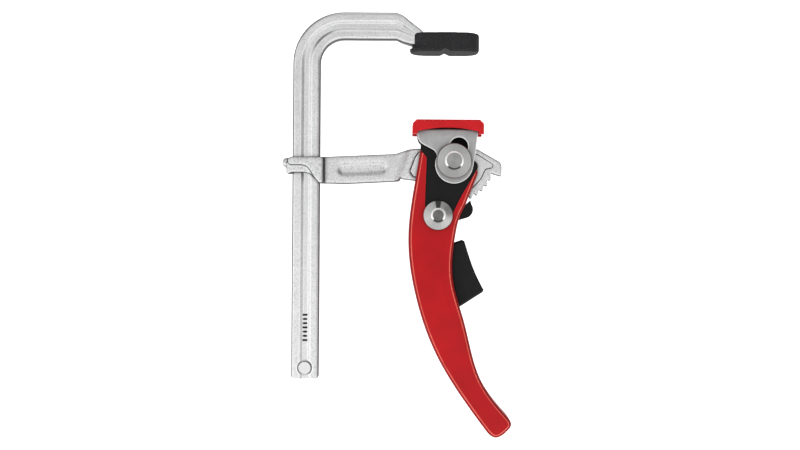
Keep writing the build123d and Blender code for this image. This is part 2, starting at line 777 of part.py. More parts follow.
with BuildPart() as grip_shell:
    with BuildSketch(pivot_plane):
        grip_shape(0)
    extrude(amount=2 * grip_half_at_palm)
    with BuildSketch(side_plane):
        side_profile()
    extrude(amount=beyond, both=True, mode=Mode.INTERSECT)
    fillet(grip_shell.faces().sort_by(Axis.Y)[0].edges(), grip_edge_round)
    # A round seat for the pawl washer
    with BuildSketch(pawl_plane.offset(grip_half_at_head)):
        Circle(pawl_washer_radius + washer_seat_gap)
    extrude(amount=beyond, mode=Mode.SUBTRACT)
    # The hollow, open to the other half
    with BuildSketch(pivot_plane):
        grip_shape(grip_wall)
        with Locations((0, arm_gap_bottom)):
            Rectangle(beyond, beyond, align=(Align.CENTER, Align.MIN), mode=Mode.SUBTRACT)
    extrude(amount=grip_cavity_half, mode=Mode.SUBTRACT)
    with BuildSketch(pivot_plane):
        with Locations(boss_places):
            Circle(screw_boss_radius)
    extrude(amount=grip_cavity_half)
    # Room for the arm's head, the lever plates and the pawl's way out
    with BuildSketch(pivot_plane):
        with Locations((0, arm_gap_bottom)):
            Rectangle(beyond, beyond, align=(Align.CENTER, Align.MIN))
        Circle(arm_gap_radius)
    extrude(amount=plate_inner, mode=Mode.SUBTRACT)
    with BuildSketch(pivot_plane):
        Polygon(*tang_outline, align=None)
        offset(amount=grip_window_gap, kind=Kind.INTERSECTION)
    extrude(amount=tang_outer + grip_window_gap, mode=Mode.SUBTRACT)
    with BuildSketch(pivot_plane):
        Polygon(*tang_outline, align=None)
        offset(amount=grip_window_gap, kind=Kind.INTERSECTION)
        with Locations((0, tang_top)):
            Rectangle(beyond, beyond, align=(Align.CENTER, Align.MAX), mode=Mode.SUBTRACT)
    extrude(amount=plate_outer + grip_window_gap, mode=Mode.SUBTRACT)
    with BuildSketch(pivot_plane):
        window_shape()
    extrude(amount=2 * grip_half_at_palm, mode=Mode.SUBTRACT)
    with BuildSketch(pivot_plane):
        with Locations((trigger_slot_left, arm_gap_bottom)):
            Rectangle(beyond, arm_gap_bottom - trigger_slot_bottom, align=(Align.MIN, Align.MAX))
    extrude(amount=trigger_slot_half, mode=Mode.SUBTRACT)

with BuildPart() as front_grip_shell:
    add(grip_shell.part)
    with BuildSketch(pivot_plane):
        with Locations(boss_places):
            Circle(screw_shank_radius)
    extrude(amount=grip_cavity_half, mode=Mode.SUBTRACT)
save(front_grip_shell.part, "front_grip_shell")

with BuildPart() as rear_grip_shell:
    mirror(grip_shell.part, about=Plane.XZ)
    with BuildSketch(pivot_plane):
        with Locations(boss_places):
            Circle(screw_shank_radius + running_clearance)
    extrude(amount=-2 * grip_half_at_palm, mode=Mode.SUBTRACT)
    with BuildSketch(pivot_plane.offset(-screw_head_floor)):
        with Locations(boss_places):
            Circle(screw_head_radius + grip_window_gap)
    extrude(amount=-2 * grip_half_at_palm, mode=Mode.SUBTRACT)
save(rear_grip_shell.part, "rear_grip_shell")

with BuildPart() as grip_screws:
    with BuildSketch(pivot_plane.offset(grip_cavity_half)):
        with Locations(boss_places):
            Circle(screw_shank_radius)
    extrude(amount=-grip_cavity_half - screw_head_floor)
    with BuildSketch(pivot_plane.offset(-screw_head_floor)):
        with Locations(boss_places):
            Circle(screw_head_radius)
    extrude(amount=-screw_head_depth)
    # A cross recess for the driver
    with BuildSketch(pivot_plane.offset(-screw_head_floor - screw_head_depth)):
        with Locations(boss_places):
            Rectangle(driver_slot_length, driver_slot_width)
            Rectangle(driver_slot_width, driver_slot_length)
    extrude(amount=driver_slot_depth, mode=Mode.SUBTRACT)
save(grip_screws.part, "grip_screws")

# ---------------------------------------------------------------- pawl

pivot_from_pawl = (-pawl_pivot_dx, -pawl_pivot_dz)


def from_pawl(point):
    """A point about the lever pivot, given about the pawl's pivot instead."""
    return (point[0] + pivot_from_pawl[0], point[1] + pivot_from_pawl[1])


tip = from_pawl(around_pivot(pawl_tip_radius, pawl_tip_angle))
slope_foot = from_pawl(around_pivot(pawl_relief_radius, pawl_tip_angle - tooth_pitch + 0.5))
tail_outline = [(-2.6, -3.0), (3.4, -3.0), (8.4, -17.0), (9.4, -31.0), (5.2, -31.0), (2.4, -17.0)]
trigger_pin_places = [(5.0, -17.5), (5.9, -25.5)]

with BuildPart() as pawl:
    with BuildSketch(pawl_plane):
        Circle(pawl_hub_radius)
        with Locations((pawl_nose_dx, pawl_nose_dz)):
            Circle(pawl_nose_radius)
        make_hull()
        with Locations(pivot_from_pawl):
            Circle(pawl_relief_radius, mode=Mode.SUBTRACT)
        Polygon(
            tip, slope_foot, (pawl_nose_dx, pawl_nose_dz),
            (pawl_nose_dx + pawl_nose_radius - 0.05, pawl_nose_dz), align=None,
        )
    extrude(amount=pawl_half, both=True)
    with BuildSketch(pawl_plane):
        Polygon(*tail_outline, align=None)
    extrude(amount=tail_half, both=True)
    # A well round the pivot holds the spring.
    with BuildSketch(pawl_plane.offset(-spring_well_near)):
        Circle(pawl_hub_radius + spring_well_gap)
    extrude(amount=-pawl_half, mode=Mode.SUBTRACT)
    with BuildSketch(pawl_plane):
        Circle(pawl_shank_radius + running_clearance)
        with Locations(trigger_pin_places):
            Circle(trigger_pin_radius)
    extrude(amount=pawl_half, both=True, mode=Mode.SUBTRACT)
save(pawl.part, "pawl")

# ---------------------------------------------------------------- trigger and its pins

with BuildPart() as trigger:
    with BuildSketch(pawl_plane):
        with BuildLine():
            top = Polyline((0.6, -13.0), (8.0, -12.8), (11.6, -11.5), (12.7, -12.2))
            face = Spline(
                top @ 1, (16.6, -24.0), (22.0, -35.2), tangents=((0.30, -0.95), (0.50, -0.87)),
            )
            Polyline(face @ 1, (21.4, -36.3), (10.4, -43.4), (4.6, -40.5), (0.8, -27.0), top @ 0)
        make_face()
    extrude(amount=trigger_half, both=True)
    by_side = trigger.faces().sort_by(Axis.Y)
    chamfer(by_side[0].edges() + by_side[-1].edges(), trigger_edge)
    with BuildSketch(pawl_plane):
        Polygon(*tail_outline, align=None)
    extrude(amount=tail_half, both=True, mode=Mode.SUBTRACT)
    with BuildSketch(pawl_plane):
        with Locations(trigger_pin_places):
            Circle(trigger_pin_radius)
    extrude(amount=trigger_half, both=True, mode=Mode.SUBTRACT)
save(trigger.part, "trigger")

with BuildPart() as trigger_pins:
    with BuildSketch(pawl_plane):
        with Locations(trigger_pin_places):
            Circle(trigger_pin_radius)
    extrude(amount=trigger_half, both=True)
save(trigger_pins.part, "trigger_pins")

# ---------------------------------------------------------------- pawl spring

with BuildPart() as pawl_spring:
    spring_centre = (pawl_x, spring_well_near + spring_wire / 2 + running_clearance, pawl_z)
    with BuildLine():
        coil = Helix(
            spring_pitch, spring_turns * spring_pitch, spring_radius, center=spring_centre,
            direction=(0, 1, 0),
        )
    with BuildSketch(Plane(coil @ 0, z_dir=coil % 0)):
        Circle(spring_wire / 2)
    sweep()
save(pawl_spring.part, "pawl_spring")
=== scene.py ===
import json
from math import cos, pi, radians, sin

import bmesh
import bpy
from bpy.props import FloatProperty, FloatVectorProperty, IntProperty, PointerProperty
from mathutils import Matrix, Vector


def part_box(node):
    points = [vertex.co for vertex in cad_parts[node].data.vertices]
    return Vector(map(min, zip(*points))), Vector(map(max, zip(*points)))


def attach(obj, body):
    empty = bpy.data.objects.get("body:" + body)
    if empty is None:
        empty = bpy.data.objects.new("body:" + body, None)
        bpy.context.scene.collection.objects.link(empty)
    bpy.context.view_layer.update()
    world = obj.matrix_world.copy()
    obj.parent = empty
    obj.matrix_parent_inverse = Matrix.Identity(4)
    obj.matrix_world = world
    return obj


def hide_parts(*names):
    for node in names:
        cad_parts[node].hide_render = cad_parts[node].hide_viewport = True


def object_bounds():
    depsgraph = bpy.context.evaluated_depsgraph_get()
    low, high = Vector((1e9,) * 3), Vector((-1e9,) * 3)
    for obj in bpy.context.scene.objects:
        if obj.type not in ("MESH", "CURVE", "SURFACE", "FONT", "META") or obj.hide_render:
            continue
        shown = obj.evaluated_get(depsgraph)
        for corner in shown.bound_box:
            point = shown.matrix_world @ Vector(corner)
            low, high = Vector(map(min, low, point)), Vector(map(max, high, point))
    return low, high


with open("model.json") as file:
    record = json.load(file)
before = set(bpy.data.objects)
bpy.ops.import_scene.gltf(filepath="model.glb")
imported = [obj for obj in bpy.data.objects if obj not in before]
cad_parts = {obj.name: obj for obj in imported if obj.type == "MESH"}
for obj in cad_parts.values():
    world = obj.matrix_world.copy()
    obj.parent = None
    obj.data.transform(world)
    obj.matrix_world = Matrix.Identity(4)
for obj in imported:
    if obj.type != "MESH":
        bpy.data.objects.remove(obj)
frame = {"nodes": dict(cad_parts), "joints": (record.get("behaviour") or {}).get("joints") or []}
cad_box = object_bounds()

bl_info = {
    "name": "Lever Clamp Finish",
    "version": (1, 0, 0),
    "blender": (4, 5, 0),
    "location": "3D View > Sidebar > Clamp",
    "description": "Gives the ratchet lever clamp its finished surfaces, its cast arm and its studio",
    "category": "Object",
}

MM = 0.001
END_STEPS = 6            # flats round a printed stroke's end
BEND_STEPS = 12          # flats round the paper's bend
MIX_LOW, MIX_HIGH, MIX_RESULT = 6, 7, 2      # a Mix node's colour sockets
NODES = frame["nodes"]
JOINT_PLACE = {j["name"]: Vector(j["pos_m"]) for j in frame["joints"] if "pos_m" in j}
LEVER_PIVOT = JOINT_PLACE["lever_swing"]
PAWL_PIVOT = JOINT_PLACE["trigger_press"]


# ------------------------------------------------------------------ sizes and colours

class ClampFinish(bpy.types.PropertyGroup):
    """Colours of the clamp's surfaces, and how its cast arm is worked."""

    plated_steel: FloatVectorProperty(
        name="Plated steel", description="Colour of the nickel plate on the rail and the arm",
        default=(0.68, 0.68, 0.685), subtype="COLOR", min=0.0, max=1.0,
    )
    sheet_steel: FloatVectorProperty(
        name="Sheet steel", description="Colour of the punched saddle",
        default=(0.385, 0.385, 0.385), subtype="COLOR", min=0.0, max=1.0,
    )
    turned_steel: FloatVectorProperty(
        name="Turned steel", description="Colour of the rivets and washers",
        default=(0.60, 0.60, 0.59), subtype="COLOR", min=0.0, max=1.0,
    )
    grip_red: FloatVectorProperty(
        name="Grip red", description="Colour of the moulded grip",
        default=(0.44, 0.006, 0.009), subtype="COLOR", min=0.0, max=1.0,
    )
    cap_red: FloatVectorProperty(
        name="Cap red", description="Colour of the saddle's cap",
        default=(0.52, 0.010, 0.014), subtype="COLOR", min=0.0, max=1.0,
    )
    black_coat: FloatVectorProperty(
        name="Black coat", description="Colour of the coated lever plates and the pawl",
        default=(0.006, 0.006, 0.006), subtype="COLOR", min=0.0, max=1.0,
    )
    black_plastic: FloatVectorProperty(
        name="Black plastic", description="Colour of the jaw cap and the trigger",
        default=(0.009, 0.009, 0.0095), subtype="COLOR", min=0.0, max=1.0,
    )
    saddle_gap: FloatProperty(
        name="Saddle gap", description="Room between a lever plate and the saddle's wall beside it",
        default=0.8 * MM, unit="LENGTH", min=0.0,
    )
    cast_voxel: FloatProperty(
        name="Casting detail", description="Finest step of the cast arm's surface",
        default=0.32 * MM, unit="LENGTH", min=0.1 * MM, max=2.0 * MM,
    )
    cast_bar_end: FloatProperty(
        name="Soft bar", description="How far short of the lever's pivot the softened bar ends",
        default=14.0 * MM, unit="LENGTH", min=0.0,
    )
    cast_pits: FloatProperty(
        name="Casting grain", description="How far the cast arm's skin rises and falls",
        default=0.035 * MM, unit="LENGTH", min=0.0, max=0.5 * MM,
    )


class ClampMarks(bpy.types.PropertyGroup):
    """The printed scale on the rail."""

    mark_count: IntProperty(
        name="Marks", description="Number of printed graduations", default=7, min=2, max=40,
    )
    mark_top: FloatProperty(
        name="Top mark", description="Height of the top graduation under the fixed jaw",
        default=-124.6 * MM, unit="LENGTH",
    )
    mark_pitch: FloatProperty(
        name="Pitch", description="Distance from one graduation to the next",
        default=2.0 * MM, unit="LENGTH", min=0.2 * MM,
    )
    mark_length: FloatProperty(
        name="Length", description="Length of a long graduation", default=3.6 * MM, unit="LENGTH",
    )
    mark_stroke: FloatProperty(
        name="Stroke", description="Width of a graduation", default=0.95 * MM, unit="LENGTH",
    )
    mark_inset: FloatProperty(
        name="Inset", description="From the rail's left edge to the middle of the graduations",
        default=6.5 * MM, unit="LENGTH",
    )
    trough_floor: FloatProperty(
        name="Trough floor", description="How far the trough's floor lies before the middle plane",
        default=2.35 * MM, unit="LENGTH",
    )
    ink_height: FloatProperty(
        name="Ink height", description="How far the ink stands off the trough's floor",
        default=0.03 * MM, unit="LENGTH",
    )


class ClampStage(bpy.types.PropertyGroup):
    """The floor, the lights and the camera."""

    eye: FloatVectorProperty(
        name="Eye", description="Where the camera stands", size=3, unit="LENGTH",
        default=(-0.0218, -0.600, -0.0817),
    )
    lens: FloatProperty(
        name="Lens", description="Focal length in millimetres", default=56.7, min=10.0, max=300.0,
    )
    roll: FloatProperty(
        name="Roll", description="Lean of the camera to its left", default=radians(0.42),
        subtype="ANGLE",
    )
    room_light: FloatProperty(
        name="Room light", description="Strength of the light from all round", default=0.16, min=0.0,
    )
    key_power: FloatProperty(
        name="Key light", description="Power of the softbox in front", default=9.5, min=0.0,
    )
    floor_drop: FloatProperty(
        name="Floor drop", description="Gap between the clamp's lowest point and the floor",
        default=95.0 * MM, unit="LENGTH", min=0.0,
    )


# ------------------------------------------------------------------ shared shader effects

def new_group(name, inputs, outputs):
    """An empty node group with named sockets. inputs maps a name to a default value; outputs holds the
    names of the outputs.
    """
    group = bpy.data.node_groups.new(name, "ShaderNodeTree")
    for label, value in inputs.items():
        kind = "NodeSocketVector" if isinstance(value, tuple) else "NodeSocketFloat"
        socket = group.interface.new_socket(label, in_out="INPUT", socket_type=kind)
        socket.default_value = value
    for label in outputs:
        group.interface.new_socket(label, in_out="OUTPUT", socket_type="NodeSocketFloat")
    return group, group.nodes.new("NodeGroupInput"), group.nodes.new("NodeGroupOutput")


def math_node(tree, operation, *values, clamp=False):
    """A math node whose inputs are sockets or plain numbers. Returns its output socket."""
    node = tree.nodes.new("ShaderNodeMath")
    node.operation = operation
    node.use_clamp = clamp
    for slot, value in enumerate(values):
        if isinstance(value, (int, float)):
            node.inputs[slot].default_value = value
        else:
            tree.links.new(value, node.inputs[slot])
    return node.outputs[0]


def ramp(tree, value, start, end):
    """A mask that goes from 0 to 1 as the value goes from start to end."""
    gain = 1.0 / (end - start)
    return math_node(tree, "MULTIPLY_ADD", value, gain, -start * gain, clamp=True)


def as_vector(tree, value):
    """The value as the first part of a vector."""
    join = tree.nodes.new("ShaderNodeCombineXYZ")
    tree.links.new(value, join.inputs["X"])
    return join.outputs["Vector"]


def noise_node(tree, scale, detail, vector):
    """A noise texture at a scale in features per metre. Returns its value socket."""
    noise = tree.nodes.new("ShaderNodeTexNoise")
    noise.inputs["Detail"].default_value = detail
    noise.inputs["Roughness"].default_value = 0.6
    tree.links.new(vector, noise.inputs["Vector"])
    if isinstance(scale, (int, float)):
        noise.inputs["Scale"].default_value = scale
    else:
        tree.links.new(scale, noise.inputs["Scale"])
    return noise.outputs["Fac"]


def make_grain_group():
    """Fine grain over slow blotches: a height for bump, and a mask for colour and gloss."""
    group, put, out = new_group(
        "Skin Grain", {"Grain Scale": 3000.0, "Blotch Scale": 120.0}, ("Height", "Blotch"),
    )
    place = group.nodes.new("ShaderNodeTexCoord").outputs["Object"]
    fine = noise_node(group, put.outputs["Grain Scale"], 3.0, place)
    slow = noise_node(group, put.outputs["Blotch Scale"], 4.0, place)
    group.links.new(fine, out.inputs["Height"])
    group.links.new(ramp(group, slow, 0.2917, 0.7083), out.inputs["Blotch"])
    return group


def make_edge_group():
    """A mask that is 1 along edges and inner corners, thinned by noise: painted highlights along the
    edges of steel and plastic, and the worn edges of the black coat.
    """
    group, put, out = new_group(
        "Edge Highlight And Wear", {"Width": 0.4 * MM, "Breakup": 0.4, "Gain": 7.0}, ("Mask",),
    )
    bevel = group.nodes.new("ShaderNodeBevel")
    bevel.samples = 6
    group.links.new(put.outputs["Width"], bevel.inputs["Radius"])
    flat = group.nodes.new("ShaderNodeNewGeometry").outputs["Normal"]
    dot = group.nodes.new("ShaderNodeVectorMath")
    dot.operation = "DOT_PRODUCT"
    group.links.new(bevel.outputs["Normal"], dot.inputs[0])
    group.links.new(flat, dot.inputs[1])
    bend = math_node(group, "SUBTRACT", 1.0, dot.outputs["Value"])
    place = group.nodes.new("ShaderNodeTexCoord").outputs["Object"]
    edge_patches = noise_node(group, 700.0, 3.0, place)
    thin = math_node(group, "MULTIPLY", math_node(group, "SUBTRACT", 1.0, edge_patches), put.outputs["Breakup"])
    strong = math_node(group, "MULTIPLY", bend, put.outputs["Gain"])
    mask = math_node(group, "SUBTRACT", strong, thin, clamp=True)
    group.links.new(mask, out.inputs["Mask"])
    return group


def make_rings_group():
    """Tool marks round an axis along Y: a height for bump, a painted reflection as a fan of streaks,
    and a painted dark reflection as a wedge above.
    """
    group, put, out = new_group(
        "Turned Rings", {"Centre": (0.0, 0.0, 0.0), "Rings per Metre": 4000.0},
        ("Height", "Reflection Fan", "Reflection Wedge"),
    )
    place = group.nodes.new("ShaderNodeTexCoord").outputs["Object"]
    away = group.nodes.new("ShaderNodeVectorMath")
    away.operation = "SUBTRACT"
    group.links.new(place, away.inputs[0])
    group.links.new(put.outputs["Centre"], away.inputs[1])
    split = group.nodes.new("ShaderNodeSeparateXYZ")
    group.links.new(away.outputs["Vector"], split.inputs["Vector"])
    across = math_node(group, "POWER", split.outputs["X"], 2.0)
    up = math_node(group, "POWER", split.outputs["Z"], 2.0)
    radius = math_node(group, "SQRT", math_node(group, "ADD", across, up))
    turns = math_node(group, "MULTIPLY", radius, put.outputs["Rings per Metre"])
    cut = noise_node(group, 1.0, 2.0, as_vector(group, turns))
    angle = math_node(group, "ARCTAN2", split.outputs["Z"], split.outputs["X"])
    bands, first_band = 2.0, 2.2
    swing = math_node(group, "SINE", math_node(group, "MULTIPLY_ADD", angle, bands, first_band))
    rough = noise_node(group, 4.0, 1.0, as_vector(group, angle))
    # painted reflection: a fan of lighter and darker streaks round the axis
    fan = math_node(group, "MULTIPLY_ADD", swing, 0.30, 0.5)
    spread = math_node(group, "MULTIPLY_ADD", rough, 0.5, -0.25)
    reflection_fan = math_node(group, "ADD", fan, spread, clamp=True)
    # painted reflection: a dark wedge above the axis
    above = ramp(group, math_node(group, "SINE", angle), 0.96, 0.985)
    group.links.new(cut, out.inputs["Height"])
    group.links.new(reflection_fan, out.inputs["Reflection Fan"])
    group.links.new(above, out.inputs["Reflection Wedge"])
    return group


def make_slope_group():
    """How far the skin turns off the front or rear, in five masks. On the flanks Turn is a half."""
    group, _, out = new_group("Skin Slope", {}, ("Slope", "Brink", "Rim", "Turn", "Down"))
    split = group.nodes.new("ShaderNodeSeparateXYZ")
    normal = group.nodes.new("ShaderNodeNewGeometry").outputs["Normal"]
    group.links.new(normal, split.inputs["Vector"])
    facing = math_node(group, "ABSOLUTE", split.outputs["Y"])
    brink_facing, flank_share = 0.965, 0.5
    slope = ramp(group, facing, 1.0, 0.9167)
    off = math_node(group, "ABSOLUTE", math_node(group, "SUBTRACT", facing, brink_facing))
    brink = ramp(group, off, 0.0319, 0.0042)
    down = ramp(group, split.outputs["Z"], -0.4, -0.525)
    past_side = ramp(group, facing, 0.0, 0.1)
    rim = math_node(group, "MULTIPLY", ramp(group, facing, 0.8, 0.6333), past_side)
    flank = math_node(group, "MAXIMUM", past_side, flank_share)
    turn = math_node(group, "MULTIPLY", math_node(group, "SUBTRACT", 1.0, facing), flank)
    masks = {"Slope": slope, "Brink": brink, "Rim": rim, "Turn": turn, "Down": down}
    for label, value in masks.items():
        group.links.new(value, out.inputs[label])
    return group


def make_crevice_group():
    """A mask that is 1 down in corners and where another piece stands close; the materials paint shade
    with it.
    """
    group, put, out = new_group("Crevice", {"Reach": 1.4 * MM}, ("Mask",))
    shade = group.nodes.new("ShaderNodeAmbientOcclusion")
    shade.samples = 5
    group.links.new(put.outputs["Reach"], shade.inputs["Distance"])
    group.links.new(ramp(group, shade.outputs["AO"], 0.9333, 0.2667), out.inputs["Mask"])
    return group


def make_inside_group():
    """A mask that is 1 nearer the middle plane than a half width: painted shade on skins inside a
    channel.
    """
    group, put, out = new_group("Channel Shade", {"Half Width": 7.0 * MM}, ("Mask",))
    split = group.nodes.new("ShaderNodeSeparateXYZ")
    place = group.nodes.new("ShaderNodeTexCoord").outputs["Object"]
    group.links.new(place, split.inputs["Vector"])
    away = math_node(group, "ABSOLUTE", split.outputs["Y"])
    inside = math_node(group, "LESS_THAN", away, put.outputs["Half Width"])
    group.links.new(inside, out.inputs["Mask"])
    return group


def shared(name, maker):
    """The node group of that name, made once."""
    return bpy.data.node_groups.get(name) or maker()


# ------------------------------------------------------------------ materials

class Surface:
    """A material under construction: its tree, its Principled shader and the shared effects in it."""

    def __init__(self, name, metallic, roughness):
        self.material = bpy.data.materials.new(name)
        self.material.use_nodes = True
        self.tree = self.material.node_tree
        self.shader = self.tree.nodes["Principled BSDF"]
        self.shader.inputs["Metallic"].default_value = metallic
        self.shader.inputs["Roughness"].default_value = roughness
        self.shader.inputs["Specular IOR Level"].default_value = 0.14

    def effect(self, name, maker, **values):
        node = self.tree.nodes.new("ShaderNodeGroup")
        node.node_tree = shared(name, maker)
        for label, value in values.items():
            node.inputs[label.replace("_", " ")].default_value = value
        return node

    def grain(self, grain_scale, blotch_scale):
        return self.effect(
            "Skin Grain", make_grain_group, Grain_Scale=grain_scale, Blotch_Scale=blotch_scale,
        )

    def edges(self, width, breakup, gain=7.0):
        return self.effect("Edge Highlight And Wear", make_edge_group, Width=width, Breakup=breakup, Gain=gain)

    def over(self, base, top, mask):
        """The top colour laid over the base by a mask. The base is a colour or a socket."""
        mix = self.tree.nodes.new("ShaderNodeMix")
        mix.data_type = "RGBA"
        if isinstance(base, tuple):
            mix.inputs[MIX_LOW].default_value = (*base, 1.0)
        else:
            self.tree.links.new(base, mix.inputs[MIX_LOW])
        mix.inputs[MIX_HIGH].default_value = (*top, 1.0)
        self.tree.links.new(mask, mix.inputs["Factor"])
        return mix.outputs[MIX_RESULT]

    def span(self, mask, low, high):
        """A value that runs from low to high with a mask."""
        return math_node(self.tree, "MULTIPLY_ADD", mask, high - low, low)

    def colour(self, socket):
        self.tree.links.new(socket, self.shader.inputs["Base Color"])

    def dim_grazing(self):
        """Weakens the metal's shine where light skims it."""
        self.shader.inputs["Specular Tint"].default_value = (0.35, 0.35, 0.35, 1.0)

    def roughness(self, socket):
        self.tree.links.new(socket, self.shader.inputs["Roughness"])

    def bump(self, height, distance, strength):
        node = self.tree.nodes.new("ShaderNodeBump")
        node.inputs["Distance"].default_value = distance
        node.inputs["Strength"].default_value = strength
        self.tree.links.new(height, node.inputs["Height"])
        self.tree.links.new(node.outputs["Normal"], self.shader.inputs["Normal"])


def tint(colour, factor):
    return tuple(min(1.0, channel * factor) for channel in colour)


def plated_steel(
    name, finish, grain_scale, depth, roughness, speckle=0.2, highlight_width=0.35 * MM, gain=7.0,
    reach=1.4 * MM,
):
    """Satin nickel on forged or cast steel: fine skin, a painted highlight along the edges, and painted
    shade on the rounded rims, on the flanks and in crevices.
    """
    surface = Surface(name, 1.0, roughness)
    grain = surface.grain(grain_scale, 90.0)
    edges = surface.edges(highlight_width, 0.3, gain)
    plate = tuple(finish.plated_steel)
    body = surface.over(tint(plate, 0.90), tint(plate, 1.06), grain.outputs["Blotch"])
    pits = ramp(surface.tree, grain.outputs["Height"], 0.4531, 0.7656)
    speck = surface.over(body, tint(plate, 1.0 - speckle), pits)
    # painted highlight: the edges and inner corners lighter
    lit = surface.over(speck, tint(plate, 1.47), edges.outputs["Mask"])
    slope = surface.effect("Skin Slope", make_slope_group)
    # painted shade: the rounded rims darker
    rim = math_node(surface.tree, "MULTIPLY", slope.outputs["Rim"], 0.75)
    rimmed = surface.over(lit, tint(plate, 0.12), rim)
    # painted shade: darker in corners and where another piece stands close
    crevice = surface.effect("Crevice", make_crevice_group, Reach=reach)
    shaded = surface.over(rimmed, tint(plate, 0.26), crevice.outputs["Mask"])
    # painted shade: the flanks darker
    surface.colour(surface.over(shaded, tint(plate, 0.08), slope.outputs["Turn"]))
    surface.dim_grazing()
    surface.roughness(surface.span(grain.outputs["Blotch"], roughness - 0.05, roughness + 0.07))
    surface.bump(grain.outputs["Height"], depth, 0.9)
    return surface.material


def sheet_steel(name, finish, inner_half):
    """Punched sheet with a soft mottle, a painted white highlight along its cut edges, a painted dark
    red shadow in corners and under the cap, and painted near-black shade on its faces inside the
    channel.
    """
    surface = Surface(name, 0.6, 0.42)
    grain = surface.grain(1600.0, 210.0)
    edges = surface.edges(1.1 * MM, 0.1)
    plate = tuple(finish.sheet_steel)
    body = surface.over(tint(plate, 0.86), tint(plate, 1.12), grain.outputs["Blotch"])
    # painted highlight: the cut edges white
    cut = surface.over(body, (1.0, 1.0, 1.0), edges.outputs["Mask"])
    # painted shadow: dark red in corners and under the red cap
    crevice = surface.effect("Crevice", make_crevice_group, Reach=4.5 * MM)
    shaded = surface.over(cut, (0.04, 0.01, 0.01), crevice.outputs["Mask"])
    # painted shade: the faces inside the channel near black
    inside = surface.effect("Channel Shade", make_inside_group, Half_Width=inner_half + 0.1 * MM)
    surface.colour(surface.over(shaded, (0.01, 0.01, 0.01), inside.outputs["Mask"]))
    surface.roughness(surface.span(grain.outputs["Blotch"], 0.38, 0.50))
    surface.bump(grain.outputs["Height"], 0.004 * MM, 0.6)
    return surface.material


def turned_steel(name, finish, centre, low, high, chamfer, reflection_wedge=False):
    """Lathe-turned steel with rings round its own axis, a painted reflection as a fan of light, a
    painted dark wedge of reflection when asked, and either painted highlights on the chamfers with
    painted shade below them or painted shade on the flanks.
    """
    surface = Surface(name, 1.0, 0.30)
    rings = surface.effect(
        "Turned Rings", make_rings_group, Centre=tuple(centre), Rings_per_Metre=3200.0,
    )
    slope = surface.effect("Skin Slope", make_slope_group)
    metal = tuple(finish.turned_steel)
    # painted reflection: a fan of light round the axis
    face = surface.over(tint(metal, low), tint(metal, high), rings.outputs["Reflection Fan"])
    if reflection_wedge:
        # painted reflection: a dark wedge above the axis
        face = surface.over(face, tint(metal, 0.08), rings.outputs["Reflection Wedge"])
    if chamfer:
        # painted highlight: the chamfers white, made less metallic so the white shows
        face = surface.over(face, (1.0, 1.0, 1.0), slope.outputs["Slope"])
        # painted shade: the lower part darker
        face = surface.over(face, tint(metal, 0.08), slope.outputs["Down"])
        dull = surface.span(slope.outputs["Slope"], 1.0, 0.3)
        surface.tree.links.new(dull, surface.shader.inputs["Metallic"])
    else:
        # painted shade: the flanks darker
        face = surface.over(face, tint(metal, 0.2), slope.outputs["Turn"])
        surface.dim_grazing()
    surface.colour(face)
    surface.roughness(surface.span(rings.outputs["Height"], 0.24, 0.36))
    surface.bump(rings.outputs["Height"], 0.006 * MM, 0.6)
    return surface.material


def black_coat(name, finish):
    """Thin black coat on steel, worn to a dark grey along the edges."""
    surface = Surface(name, 0.0, 0.46)
    grain = surface.grain(4200.0, 160.0)
    edges = surface.edges(0.3 * MM, 0.7)
    coat = tuple(finish.black_coat)
    body = surface.over(tint(coat, 0.85), tint(coat, 1.25), grain.outputs["Blotch"])
    surface.colour(surface.over(body, (0.05, 0.05, 0.05), edges.outputs["Mask"]))
    surface.roughness(surface.span(grain.outputs["Blotch"], 0.42, 0.54))
    surface.bump(grain.outputs["Height"], 0.008 * MM, 0.5)
    return surface.material


def moulded_plastic(name, colour, roughness, grain_scale, depth, speck=0.0, gloss=0.14):
    """Injection-moulded plastic with a spark-eroded texture, a faint painted highlight along its edges
    and painted shade in crevices.
    """
    surface = Surface(name, 0.0, roughness)
    surface.shader.inputs["Specular IOR Level"].default_value = gloss
    grain = surface.grain(grain_scale, 140.0)
    edges = surface.edges(0.35 * MM, 0.8)
    body = surface.over(tint(colour, 0.88), tint(colour, 1.12), grain.outputs["Blotch"])
    if speck:
        light = surface.span(grain.outputs["Height"], -speck, speck)
        body = surface.over(body, tint(colour, 3.0), light)
    # painted highlight: the edges lighter
    edged = surface.over(body, tint(colour, 1.7), edges.outputs["Mask"])
    # painted shade: darker in corners and where another piece stands close
    crevice = surface.effect("Crevice", make_crevice_group, Reach=2.0 * MM)
    surface.colour(surface.over(edged, tint(colour, 0.15), crevice.outputs["Mask"]))
    surface.roughness(surface.span(grain.outputs["Blotch"], roughness - 0.05, roughness + 0.06))
    surface.bump(grain.outputs["Height"], depth, 0.5)
    return surface.material


